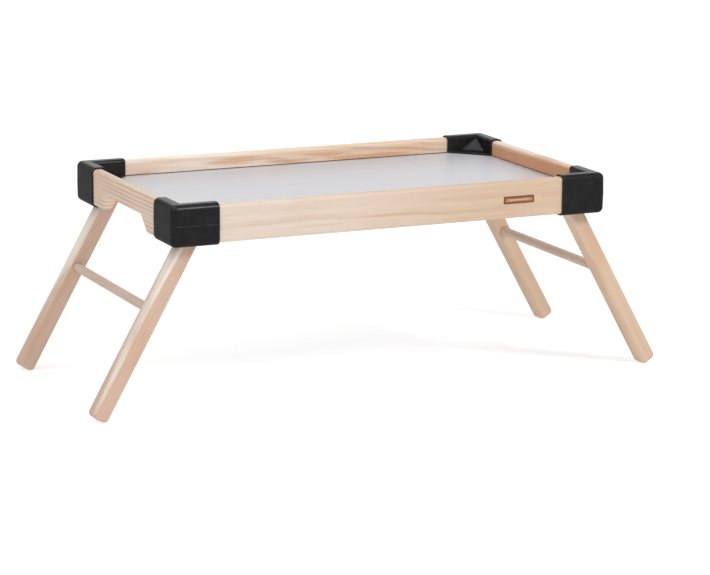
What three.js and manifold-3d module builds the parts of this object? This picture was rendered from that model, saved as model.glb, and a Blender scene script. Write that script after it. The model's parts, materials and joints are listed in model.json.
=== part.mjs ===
// A folding tray table: a shallow pine tray on two pairs of legs that fold flat beneath it.
//
// Millimetres, +Z up. X runs along the tray, Y from front to back, and Z = 0 is the surface that
// the feet stand on. The origin is under the middle of the tray.

import * as THREE from 'three';
import { mergeVertices } from 'three/addons/utils/BufferGeometryUtils.js';
import { ConvexGeometry } from 'three/addons/geometries/ConvexGeometry.js';
import Module from 'manifold-3d';

const wasm = await Module();
wasm.setup();

// ---------- driving dimensions ----------

const trayLength = 500; // over the corner caps
const trayDepth = 290; // over the corner caps

const restGap = 0.3; // left between two pieces that touch
const railHeight = 40;
const railThickness = 12;
const railEdgeRadius = 4;
const archBottomWidth = 132; // of the hand hold under each end rail, where it opens
const archTopWidth = 96;
const archRise = 16.3;
const archCornerRadius = 3.5;

const panelThickness = 3;
const panelDrop = 17; // from the top of the rails to the face of the panel
const panelEdgeStep = 0.4; // how far the panel's edge is sunk, in the grooves and under the caps
const grooveDepth = 5.5; // of the panel groove in each rail

const capWall = 1.7;
const capArm = 52.5; // from the outer corner to each mouth
const capEdgeRadius = 5.7;
const capInnerTopRadius = 3.5;
const capInnerFootRadius = 1.5;
const partingRidgeHeight = 0.3; // how far the parting line stands proud
const partingRidgeWidth = 1.1;
const capEndRoom = 1.2; // from a long rail's end to the inside of its cap
const webThickness = 2; // of the triangular web that lies on the panel
const gussetReach = 20; // along each wall, from the inner corner
const gussetApexDrop = 3; // from the top of the cap

const legWidth = 18; // across the leg, in the plane it folds in
const legDepth = 20; // along the pivot
const legEdgeRadius = 4;
const footRadius = 5;
const footLand = 0.5; // how much of the foot's low corner is sanded flat
const splayAngle = 29.3; // degrees from upright, outwards
const foldGap = 0.8; // from a folded leg to the underside of the panel
const footMeetingGap = 3.2; // between left and right feet when both pairs are folded

const dowelDiameter = 10;
const dowelFromPivot = 91.5;
const dowelSeatDepth = 12; // into each leg

const pivotShankDiameter = 5;
const pivotHeadDiameter = 10.5;
const pivotHeadHeight = 3;
const pivotHeadShoulder = 1.4; // radius between the side of the head and its face
const pivotBite = 9.5; // of the pivot screw into the long rail
const washerDiameter = 14;
const washerThickness = 0.8;

const capScrewDiameter = 3;
const capScrewHeadDiameter = 6.2;
const capScrewLength = 16;
const capScrewFromMouth = 9;

const recessWidth = 0.9; // of the arms of the cross recess in every screw head
const recessReach = 0.32; // half length of those arms, as a share of the head's diameter
const recessDepth = 1;

const badgeWidth = 36;
const badgeHeight = 7.6;
const badgeThickness = 0.8;
const badgePocketDepth = 0.7;
const badgeCornerRadius = 1;
const badgeFromRightEnd = 104.5; // from the end of the tray to the badge's middle

const arcSteps = 4; // facets in each quarter round
const roundSides = 20; // facets round dowels, washers and screws
const runOut = 1; // how far a cut runs on past the surface that it opens

// ---------- places that follow from them ----------

const degree = Math.PI / 180;
const splay = splayAngle * degree;

const capThickness = 2 * (capWall + restGap) + railThickness;
const capHeight = 2 * (capWall + restGap) + railHeight;
const railInset = partingRidgeHeight + capWall + restGap; // from the tray's outside to a rail's face
const capInner = partingRidgeHeight + capThickness; // from the tray's outside to a cap's inner wall

// The pivot lets a folded leg lie just under the panel, and lets an open leg rest on the foot of
// the cap's inner wall.
const railFootHeight = capWall + restGap; // above the underside of the caps
const panelTopHeight = railFootHeight + railHeight - panelDrop;
const panelFootHeight = panelTopHeight - panelThickness;
const pivotHeight = panelFootHeight - foldGap - legWidth / 2;
const stopX = capInner - capInnerFootRadius;
const stopReach = legWidth / 2 + capInnerFootRadius + restGap;
const pivotInset =
  stopX + (stopReach + (pivotHeight - capInnerFootRadius) * Math.sin(splay)) / Math.cos(splay);
const legReach = trayLength / 2 - pivotInset - footMeetingGap / 2; // pivot to foot

const pivotZ =
  (legReach - footRadius) * Math.cos(splay) +
  (legWidth / 2 - footRadius) * Math.sin(splay) +
  footRadius -
  footLand;
const capFootZ = pivotZ - pivotHeight;
const railFootZ = capFootZ + railFootHeight;
const railTopZ = railFootZ + railHeight;
const panelTopZ = capFootZ + panelTopHeight;
const panelFootZ = capFootZ + panelFootHeight;
const panelEdgeZ = panelTopZ - panelEdgeStep;

const spacerFace = capInner + restGap; // all four from the tray's front or back
const legFace = spacerFace + washerThickness + restGap;
const headWasherFace = legFace + legDepth + restGap;
const pivotHeadFace = headWasherFace + washerThickness + restGap;
const pivotTip = railInset + railThickness - pivotBite;

const halfLength = trayLength / 2;
const halfDepth = trayDepth / 2;
const capScrewAlong = capArm - capScrewFromMouth;
const railMiddle = railInset + railThickness / 2;
const badgeX = halfLength - badgeFromRightEnd;
const badgeZ = railFootZ + railHeight / 2;

// ---------- materials ----------

const pine = (color) => new THREE.MeshStandardMaterial({ color, roughness: 0.55, metalness: 0 });
const finishes = {
  rail: () => pine(0xe3cba6),
  leg: () => pine(0xd9bb92),
  dowel: () => pine(0xd9b88c),
  panel: () => new THREE.MeshStandardMaterial({ color: 0xdcdce0, roughness: 0.35, metalness: 0 }),
  cap: () => new THREE.MeshStandardMaterial({ color: 0x1f1f21, roughness: 0.42, metalness: 0 }),
  steel: () => new THREE.MeshStandardMaterial({ color: 0xb8b9bc, roughness: 0.3, metalness: 1 }),
  nylon: () => new THREE.MeshStandardMaterial({ color: 0x2a2a2c, roughness: 0.5, metalness: 0 }),
  badge: () => new THREE.MeshStandardMaterial({ color: 0xb5652c, roughness: 0.5, metalness: 0 }),
};

// ---------- solids ----------

function toSolid(geometry) {
  const bare = geometry.clone();
  bare.deleteAttribute('normal');
  bare.deleteAttribute('uv');
  const welded = mergeVertices(bare, 1e-4);
  return new wasm.Manifold(
    new wasm.Mesh({
      numProp: 3,
      vertProperties: Float32Array.from(welded.attributes.position.array),
      triVerts: Uint32Array.from(welded.index.array),
    })
  );
}

function toGeometry(solid) {
  const mesh = solid.getMesh();
  const geometry = new THREE.BufferGeometry();
  geometry.setAttribute('position', new THREE.BufferAttribute(mesh.vertProperties, 3));
  geometry.setIndex(new THREE.BufferAttribute(mesh.triVerts, 1));
  return geometry;
}

// A closed outline through corners [u, v, radius], anticlockwise, each corner rounded to its radius.
function outline(corners) {
  const shape = new THREE.Shape();
  const count = corners.length;
  corners.forEach(([u, v, radius = 0], i) => {
    const here = new THREE.Vector2(u, v);
    const [beforeU, beforeV] = corners[(i + count - 1) % count];
    const [afterU, afterV] = corners[(i + 1) % count];
    const toBefore = new THREE.Vector2(beforeU, beforeV).sub(here).normalize();
    const toAfter = new THREE.Vector2(afterU, afterV).sub(here).normalize();
    const halfAngle = Math.acos(THREE.MathUtils.clamp(toBefore.dot(toAfter), -1, 1)) / 2;
    const points = [here];
    if (radius > 0) {
      points.length = 0;
      const centre = toBefore.clone().add(toAfter).normalize();
      centre.multiplyScalar(radius / Math.sin(halfAngle)).add(here);
      const tangent = radius / Math.tan(halfAngle);
      const start = here.clone().addScaledVector(toBefore, tangent).sub(centre);
      const end = here.clone().addScaledVector(toAfter, tangent).sub(centre);
      const turn = Math.atan2(start.x * end.y - start.y * end.x, start.dot(end));
      const steps = Math.max(2, Math.round((arcSteps * Math.abs(turn)) / (90 * degree)));
      for (let k = 0; k <= steps; k++) {
        const spoke = start.clone().rotateAround(new THREE.Vector2(), (turn * k) / steps);
        points.push(spoke.add(centre));
      }
    }
    points.forEach((p, k) => (i + k === 0 ? shape.moveTo(p.x, p.y) : shape.lineTo(p.x, p.y)));
  });
  shape.closePath();
  return shape;
}

function rectangle(u0, v0, u1, v1, radius = 0) {
  return outline([
    [u0, v0, radius],
    [u1, v0, radius],
    [u1, v1, radius],
    [u0, v1, radius],
  ]);
}

// How a shape's own u, v and depth lie in the object: along X it holds (y, z), along Y (x, z),
// along Z (x, y).
const turned = {
  x: new THREE.Matrix4().set(0, 0, 1, 0, 1, 0, 0, 0, 0, 1, 0, 0, 0, 0, 0, 1),
  y: new THREE.Matrix4().set(1, 0, 0, 0, 0, 0, -1, 0, 0, 1, 0, 0, 0, 0, 0, 1),
  z: new THREE.Matrix4(),
};

// A bar of the given section along an axis, between two places on it.
function bar(axis, shape, from, to) {
  const geometry = new THREE.ExtrudeGeometry(shape, {
    depth: to - from,
    bevelEnabled: false,
    curveSegments: roundSides / 2,
  });
  geometry.translate(0, 0, axis === 'y' ? -to : from);
  geometry.applyMatrix4(turned[axis]);
  return toSolid(geometry);
}

// A round piece about an axis, from a profile of [radius, place] pairs that starts and ends on it.
function turnedPiece(axis, profile, centre) {
  const points = profile.map(([radius, place]) => new THREE.Vector2(radius, place));
  const geometry = new THREE.LatheGeometry(points, roundSides);
  geometry.rotateX(90 * degree); // the lathe's own axis is Y, and this lays it along Z
  geometry.applyMatrix4(turned[axis]);
  geometry.translate(...centre);
  return toSolid(geometry);
}

// A plain round rod along an axis, from its centre line's [a, b] in the other two directions.
function rod(axis, diameter, from, to, centre) {
  const circle = new THREE.Shape();
  circle.absarc(centre[0], centre[1], diameter / 2, 0, 2 * Math.PI, false);
  return bar(axis, circle, from, to);
}

// Turns a solid over, left for right (sx = -1) or front for back (sy = -1).
function mirrored(solid, sx, sy) {
  const geometry = toGeometry(solid);
  geometry.scale(sx, sy, 1);
  if (sx * sy < 0) {
    const index = geometry.index.array;
    for (let i = 0; i < index.length; i += 3) {
      [index[i + 1], index[i + 2]] = [index[i + 2], index[i + 1]];
    }
  }
  return toSolid(geometry);
}

function named(name, solid, finish) {
  const mesh = new THREE.Mesh(toGeometry(solid), finishes[finish]());
  mesh.name = name;
  return mesh;
}

const corners = [
  { name: 'front_left', sx: 1, sy: 1 },
  { name: 'front_right', sx: -1, sy: 1 },
  { name: 'rear_left', sx: 1, sy: -1 },
  { name: 'rear_right', sx: -1, sy: -1 },
];

// ---------- screws and washers, modelled at the front left corner ----------

// A cross of two bars for a screw head whose face looks along the axis.
function crossRecess(axis, headDiameter, from, to, centre) {
  const reach = headDiameter * recessReach;
  const half = recessWidth / 2;
  const [a, b] = centre;
  const across = bar(axis, rectangle(a - reach, b - half, a + reach, b + half), from, to);
  const along = bar(axis, rectangle(a - half, b - reach, a + half, b + reach), from, to);
  return across.add(along);
}

const pivotX = -halfLength + pivotInset;
const frontY = -halfDepth;

function pivotScrew() {
  const head = pivotHeadDiameter / 2;
  const shank = pivotShankDiameter / 2;
  const face = pivotHeadFace + pivotHeadHeight;
  const profile = [
    [0, pivotTip],
    [shank, pivotTip + shank],
    [shank, pivotHeadFace],
    [head, pivotHeadFace],
  ];
  for (let k = 0; k <= arcSteps; k++) {
    const angle = (90 * degree * k) / arcSteps;
    profile.push([
      head - pivotHeadShoulder * (1 - Math.cos(angle)),
      face - pivotHeadShoulder * (1 - Math.sin(angle)),
    ]);
  }
  profile.push([0, face]);
  const backwards = profile.map(([radius, place]) => [radius, -place]).reverse();
  const screw = turnedPiece('y', backwards, [pivotX, frontY, pivotZ]);
  const top = frontY + face;
  return screw.subtract(
    crossRecess('y', pivotHeadDiameter, top - recessDepth, top + runOut, [pivotX, pivotZ])
  );
}

function washer(face) {
  const from = frontY + face;
  const to = from + washerThickness;
  const disc = rod('y', washerDiameter, from, to, [pivotX, pivotZ]);
  const hole = pivotShankDiameter + 2 * restGap;
  return disc.subtract(rod('y', hole, from - runOut, to + runOut, [pivotX, pivotZ]));
}

// Each cap is held by one screw driven up into its long rail and one into its end rail.
const capScrewPlaces = {
  long: [-halfLength + capScrewAlong, -halfDepth + railMiddle],
  end: [-halfLength + railMiddle, -halfDepth + capScrewAlong],
};
const capScrewSink = (capScrewHeadDiameter - capScrewDiameter) / 2;

function capScrewBlank([x, y], grow, foot, tip) {
  const shank = capScrewDiameter / 2 + grow;
  const head = capScrewHeadDiameter / 2 + grow;
  const taper = head - shank;
  const profile = [
    [0, foot],
    [head, foot],
    [head, capFootZ + restGap],
    [shank, capFootZ + restGap + taper],
    [shank, tip - shank],
    [0, tip],
  ];
  return turnedPiece('z', profile, [x, y, 0]);
}

function capScrew(place) {
  const foot = capFootZ + restGap / 2;
  const screw = capScrewBlank(place, 0, foot, foot + capScrewLength);
  const recess = crossRecess('z', capScrewHeadDiameter, foot - runOut, foot + recessDepth, place);
  return screw.subtract(recess);
}

function capScrewHole(place) {
  return capScrewBlank(place, restGap, capFootZ - runOut, capFootZ + capScrewLength + runOut);
}

// Everything that is drilled at the front left corner, in the rails and the cap alike.
const pivotHole = rod('y', pivotShankDiameter + 2 * restGap, frontY + pivotTip - 2 * restGap,
  frontY + capInner + runOut, [pivotX, pivotZ]);
const cornerHoles = pivotHole
  .add(capScrewHole(capScrewPlaces.long))
  .add(capScrewHole(capScrewPlaces.end));

function drilled(solid) {
  return corners.reduce((left, { sx, sy }) => left.subtract(mirrored(cornerHoles, sx, sy)), solid);
}

// ---------- rails ----------

const grooveFoot = panelFootZ - restGap;
const grooveTop = panelEdgeZ + restGap;

// A rail's section with the panel groove in its inner side, for the low side of either axis.
function railSection(outer, inward) {
  const inner = outer + inward * railThickness;
  const bottom = inner - inward * grooveDepth;
  const walk = [
    [outer, railFootZ, railEdgeRadius],
    [inner, railFootZ, railEdgeRadius],
    [inner, grooveFoot],
    [bottom, grooveFoot],
    [bottom, grooveTop],
    [inner, grooveTop],
    [inner, railTopZ, railEdgeRadius],
    [outer, railTopZ, railEdgeRadius],
  ];
  return outline(inward > 0 ? walk : walk.reverse());
}

const longRailEnd = halfLength - partingRidgeHeight - capWall - capEndRoom;
const endRailEnd = halfDepth - railInset - railThickness - restGap;

function longRail(inward) {
  const section = railSection(-inward * (halfDepth - railInset), inward);
  return drilled(bar('x', section, -longRailEnd, longRailEnd));
}

function endRail(inward) {
  const section = railSection(-inward * (halfLength - railInset), inward);
  const rail = bar('y', section, -endRailEnd, endRailEnd);
  const low = railFootZ - runOut;
  const crown = railFootZ + archRise;
  const flare = (archBottomWidth - archTopWidth) / 2 / archRise;
  const foot = archBottomWidth / 2 + flare * runOut;
  const arch = outline([
    [-foot, low],
    [foot, low],
    [archTopWidth / 2, crown, archCornerRadius],
    [-archTopWidth / 2, crown, archCornerRadius],
  ]);
  return drilled(rail.subtract(bar('x', arch, -halfLength, halfLength)));
}

function badgeOutline(grow) {
  return rectangle(
    badgeX - badgeWidth / 2 - grow,
    badgeZ - badgeHeight / 2 - grow,
    badgeX + badgeWidth / 2 + grow,
    badgeZ + badgeHeight / 2 + grow,
    badgeCornerRadius
  );
}

const frontRailFace = -halfDepth + railInset;
const badgeBack = frontRailFace + badgePocketDepth - restGap;
const badgePocket = bar('y', badgeOutline(restGap), frontRailFace - runOut,
  frontRailFace + badgePocketDepth);

// ---------- panel ----------

// Its sunk edges run into the grooves between the caps, and stop at the caps' inner walls beside
// them. The raised face is all that lies open between the rails and the webs of the caps.
function panel() {
  const slotEnd = railInset + railThickness - grooveDepth + restGap;
  const railFace = railInset + railThickness + restGap;
  const wall = capInner + restGap;
  const mouth = capArm + restGap;
  const layer = (shape, top) => bar('z', shape, panelFootZ, top);
  const edge = (fromX, fromY) =>
    layer(
      rectangle(-halfLength + fromX, -halfDepth + fromY, halfLength - fromX, halfDepth - fromY),
      panelEdgeZ
    );
  const corner = [
    [railFace, mouth],
    [wall, mouth],
    [mouth, wall],
    [mouth, railFace],
  ];
  const inCorner = (sx, sy) => {
    const points = corner.map(([u, v]) => [sx * (u - halfLength), sy * (v - halfDepth)]);
    return sx * sy > 0 ? points : points.reverse();
  };
  const face = outline([
    ...inCorner(1, 1),
    ...inCorner(-1, 1),
    ...inCorner(-1, -1),
    ...inCorner(1, -1),
  ]);
  return edge(wall, wall)
    .add(edge(mouth, slotEnd))
    .add(edge(slotEnd, mouth))
    .add(layer(face, panelTopZ));
}

// ---------- corner caps, modelled at the front left corner ----------

function cornerCap() {
  const left = -halfLength;
  const front = -halfDepth;
  const top = capFootZ + capHeight;
  const skin = partingRidgeHeight;

  // A block with its outer upright edge and the edges above and below it rounded.
  const roundedBlock = () => {
    const far = 2 * capArm;
    const plan = outline([
      [left + skin, front + skin, capEdgeRadius],
      [left + far, front + skin],
      [left + far, front + far],
      [left + skin, front + far],
    ]);
    const side = (edge) =>
      outline([
        [edge + skin, capFootZ, capEdgeRadius],
        [edge + far, capFootZ],
        [edge + far, top],
        [edge + skin, top, capEdgeRadius],
      ]);
    return bar('z', plan, capFootZ, top)
      .intersect(bar('x', side(front), left, left + far))
      .intersect(bar('y', side(left), front, front + far));
  };

  const armSection = (edge) =>
    outline([
      [edge, capFootZ],
      [edge + capInner, capFootZ, capInnerFootRadius],
      [edge + capInner, top, capInnerTopRadius],
      [edge, top],
    ]);
  const arms = bar('x', armSection(front), left, left + capArm).add(
    bar('y', armSection(left), front, front + capArm)
  );

  const ridgeFoot = capFootZ + capHeight / 2 - partingRidgeWidth / 2;
  const ridgePlan = outline([
    [left, front, capEdgeRadius + skin],
    [left + capArm, front],
    [left + capArm, front + capInner / 2],
    [left + capInner / 2, front + capInner / 2],
    [left + capInner / 2, front + capArm],
    [left, front + capArm],
  ]);
  const ridge = bar('z', ridgePlan, ridgeFoot, ridgeFoot + partingRidgeWidth);

  // The web lies on the panel from mouth to mouth, and the gusset slopes up to the inner corner.
  const innerX = left + capInner - capWall / 2;
  const innerY = front + capInner - capWall / 2;
  const webFoot = panelEdgeZ + restGap;
  const web = bar(
    'z',
    outline([
      [innerX, innerY],
      [left + capArm, innerY],
      [left + capArm, front + capInner],
      [left + capInner, front + capArm],
      [innerX, front + capArm],
    ]),
    webFoot,
    webFoot + webThickness
  );
  const gussetFoot = webFoot + webThickness / 2;
  const gussetSide = capWall / 2 + gussetReach;
  const gusset = toSolid(
    new ConvexGeometry([
      new THREE.Vector3(innerX, innerY, gussetFoot),
      new THREE.Vector3(innerX + gussetSide, innerY, gussetFoot),
      new THREE.Vector3(innerX, innerY + gussetSide, gussetFoot),
      new THREE.Vector3(innerX, innerY, top - gussetApexDrop),
      new THREE.Vector3(left + capInner, front + capInner, top - gussetApexDrop),
    ])
  );

  const insideFoot = railFootZ - restGap;
  const insideTop = railTopZ + restGap;
  const insideSection = (edge) =>
    rectangle(
      edge + railInset - restGap,
      insideFoot,
      edge + railInset + railThickness + restGap,
      insideTop,
      railEdgeRadius + restGap
    );
  const longEnd = left + skin + capWall + capEndRoom - restGap;
  const inside = bar('x', insideSection(front), longEnd, left + capArm + runOut).add(
    bar('y', insideSection(left), front + railMiddle, front + capArm + runOut)
  );

  return roundedBlock()
    .intersect(arms)
    .add(ridge)
    .add(web)
    .add(gusset)
    .subtract(inside)
    .subtract(cornerHoles);
}

// ---------- legs ----------

// A left leg about its pivot, hanging straight down: x is its width, y runs along the pivot.
function leg() {
  const half = legWidth / 2;
  const crownRadius = half - footLand; // leaves a narrow flat at the very top
  const side = outline([
    [-half, -legReach, footRadius],
    [half, -legReach, footRadius],
    [half, half, crownRadius],
    [-half, half, crownRadius],
  ]);
  const section = rectangle(-half, -legDepth / 2, half, legDepth / 2, legEdgeRadius);
  const face = rectangle(-legDepth / 2, -legReach, legDepth / 2, half, legEdgeRadius);
  const blank = bar('y', side, -legDepth / 2, legDepth / 2)
    .intersect(bar('z', section, -legReach, half))
    .intersect(bar('x', face, -half, half));

  const bore = rod('y', pivotShankDiameter + 2 * restGap, -legDepth, legDepth, [0, 0]);
  const socket = rod('y', dowelDiameter + 2 * restGap, legDepth / 2 - dowelSeatDepth - restGap,
    legDepth, [0, -dowelFromPivot]);
  const ground = new THREE.BoxGeometry(2 * trayLength, trayDepth, legReach);
  ground.translate(0, 0, -pivotZ - legReach / 2);
  ground.rotateY(-splay);
  return blank.subtract(bore).subtract(socket).subtract(toSolid(ground));
}

// ---------- assembly ----------

const tray = new THREE.Group();
const rearRail = longRail(-1);
const frontRail = longRail(1).subtract(badgePocket);
tray.add(named('rail_front', frontRail, 'rail'));
tray.add(named('rail_rear', rearRail, 'rail'));
tray.add(named('rail_left_end', endRail(1), 'rail'));
tray.add(named('rail_right_end', endRail(-1), 'rail'));
tray.add(named('tray_panel', panel(), 'panel'));

const badge = bar('y', badgeOutline(0), badgeBack - badgeThickness, badgeBack);
tray.add(named('badge_plate', badge, 'badge'));

const atFrontLeft = [
  ['corner_cap', cornerCap(), 'cap'],
  ['pivot_screw', pivotScrew(), 'steel'],
  ['pivot_spacer', washer(spacerFace), 'nylon'],
  ['pivot_washer', washer(headWasherFace), 'steel'],
  ['cap_screw_long', capScrew(capScrewPlaces.long), 'steel'],
  ['cap_screw_end', capScrew(capScrewPlaces.end), 'steel'],
];
for (const { name, sx, sy } of corners) {
  for (const [piece, solid, finish] of atFrontLeft) {
    tray.add(named(`${piece}_${name}`, mirrored(solid, sx, sy), finish));
  }
}

const legMiddle = halfDepth - legFace - legDepth / 2; // from the middle of the tray
const dowelHalf = halfDepth - legFace - legDepth + dowelSeatDepth;
const legSolid = leg();
const dowelSolid = rod('y', dowelDiameter, -dowelHalf, dowelHalf, [0, -dowelFromPivot]);

for (const [end, sx] of [['left', 1], ['right', -1]]) {
  const pair = new THREE.Group();
  pair.position.set(sx * pivotX, 0, pivotZ);
  pair.rotation.y = sx * splay;
  for (const [place, sy] of [['front', 1], ['rear', -1]]) {
    const mesh = named(`leg_${place}_${end}`, mirrored(legSolid, sx, sy), 'leg');
    mesh.position.y = -sy * legMiddle;
    pair.add(mesh);
  }
  pair.add(named(`leg_dowel_${end}`, dowelSolid, 'dowel'));
  tray.add(pair);
}

export default tray;
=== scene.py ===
# A folding tray table in pine with moulded corner caps: its visible pieces, finishes and a plain studio.
import json
import math

import bmesh
import bpy
from mathutils import Matrix, Vector

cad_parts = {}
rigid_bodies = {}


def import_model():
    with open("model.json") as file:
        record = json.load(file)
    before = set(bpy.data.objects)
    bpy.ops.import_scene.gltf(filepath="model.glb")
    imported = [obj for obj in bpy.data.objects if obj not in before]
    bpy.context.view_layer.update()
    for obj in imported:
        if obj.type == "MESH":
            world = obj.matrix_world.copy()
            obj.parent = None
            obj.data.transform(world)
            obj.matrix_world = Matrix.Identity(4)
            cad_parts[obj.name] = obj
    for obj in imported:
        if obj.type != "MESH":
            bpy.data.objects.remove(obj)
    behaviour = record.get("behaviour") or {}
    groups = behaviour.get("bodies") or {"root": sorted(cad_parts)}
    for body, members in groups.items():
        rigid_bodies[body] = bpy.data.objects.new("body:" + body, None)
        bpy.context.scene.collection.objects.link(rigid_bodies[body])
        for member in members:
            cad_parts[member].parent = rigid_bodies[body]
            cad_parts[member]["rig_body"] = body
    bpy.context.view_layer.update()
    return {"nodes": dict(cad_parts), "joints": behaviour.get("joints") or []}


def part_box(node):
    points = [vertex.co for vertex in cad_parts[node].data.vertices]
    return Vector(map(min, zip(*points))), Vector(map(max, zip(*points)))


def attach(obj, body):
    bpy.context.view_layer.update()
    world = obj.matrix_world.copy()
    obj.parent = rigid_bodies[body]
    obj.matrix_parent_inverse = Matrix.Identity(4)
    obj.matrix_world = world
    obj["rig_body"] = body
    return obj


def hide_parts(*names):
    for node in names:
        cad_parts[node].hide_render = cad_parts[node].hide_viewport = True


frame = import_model()
scene = bpy.context.scene
print("frame loaded:", len(frame["nodes"]), "nodes")

metre = 1000  # pieces are shaped in millimetres and brought to metres when they are finished
restGap = 0.3  # left between two pieces that touch
past = 1  # how far a cut runs on beyond the surface that it opens


def boxOf(node):  # a CAD node's lowest and highest corner, in millimetres
    low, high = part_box(node)
    return low * metre, high * metre


def pivotOf(end):  # where a pair of legs turns, in millimetres
    joint = next(j for j in frame["joints"] if j["name"] == end + "_leg_fold")
    return Vector(joint["pos_m"]) * metre


corners = {"front_left": (1, 1), "front_right": (-1, 1), "rear_left": (1, -1), "rear_right": (-1, -1)}


# ---- camera, light and floor ----

cameraSettings = {
    "azimuth": -24.970, "elevation": 12.572, "roll": -0.465,  # degrees
    "aim": (0.00863, -0.02625, 0.09186), "distance": 3.09737,
    "lens": 144.66, "sensor": 36, "farthest": 40,
}
studioSettings = {  # the key lights without showing in gloss, and the glint only shows in gloss
    "sky": (1.0, 1.0, 1.0), "skyStrength": 0.32,
    "key": {"place": (1.15, -1.80, 1.80), "size": 0.55, "power": 30, "mirrored": False},
    "glint": {"place": (0.43, -1.20, 1.23), "size": 0.5, "power": 8, "lights": False},
    "top": {"place": (-1.1, 0.1, 2.4), "size": 3.2, "power": 36},
    "back": {"place": (1.1, 2.6, 1.1), "size": 2.6, "power": 12},
    "side": {"place": (-1.9, -1.6, 1.2), "size": 0.5, "power": 5},
    "floorSize": 16, "floorDrop": 0.0003, "floorShade": 0.5,
    "glow": (0.66, 0.92), "glowReach": (0.7, 3.2),
}


def makeCamera(s):
    azimuth, elevation, roll = (math.radians(s[k]) for k in ("azimuth", "elevation", "roll"))
    right = Vector((math.cos(azimuth), math.sin(azimuth), 0))
    back = Vector((math.sin(azimuth) * math.cos(elevation), -math.cos(azimuth) * math.cos(elevation),
                   math.sin(elevation)))
    up = back.cross(right)
    tilted = (math.cos(roll) * right - math.sin(roll) * up,
              math.sin(roll) * right + math.cos(roll) * up, back)
    camera = bpy.data.objects.new("camera", bpy.data.cameras.new("camera"))
    camera.data.lens = s["lens"]
    camera.data.sensor_width = s["sensor"]
    camera.data.sensor_fit = "HORIZONTAL"
    camera.data.clip_end = s["farthest"]
    stand = Matrix.Translation(Vector(s["aim"]) + back * s["distance"])
    camera.matrix_world = stand @ Matrix(tilted).transposed().to_4x4()
    scene.collection.objects.link(camera)
    scene.camera = camera


def makeLight(name, s):
    light = bpy.data.lights.new(name, "AREA")
    light.shape = "DISK"
    light.size = s["size"]
    light.energy = s["power"]
    lamp = bpy.data.objects.new(name, light)
    lamp.location = s["place"]
    lamp.rotation_euler = (-Vector(s["place"])).to_track_quat("-Z", "Y").to_euler()
    lamp.visible_glossy = s.get("mirrored", True)  # whether it shows in a glossy surface
    lamp.visible_diffuse = s.get("lights", True)
    scene.collection.objects.link(lamp)


makeCamera(cameraSettings)


# ---- material nodes ----

class Wire:  # one output in a node tree; sums on it add Math nodes
    def __init__(self, board, socket):
        self.board = board
        self.socket = socket

    def __add__(self, other):
        return self.board.maths("ADD", self, other)

    def __sub__(self, other):
        return self.board.maths("SUBTRACT", self, other)

    def __rsub__(self, other):
        return self.board.maths("SUBTRACT", other, self)

    def __mul__(self, other):
        return self.board.maths("MULTIPLY", self, other)

    def __truediv__(self, other):
        return self.board.maths("DIVIDE", self, other)

    def __rtruediv__(self, other):
        return self.board.maths("DIVIDE", other, self)

    def __pow__(self, other):
        return self.board.maths("POWER", self, other)

    __radd__ = __add__
    __rmul__ = __mul__


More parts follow.
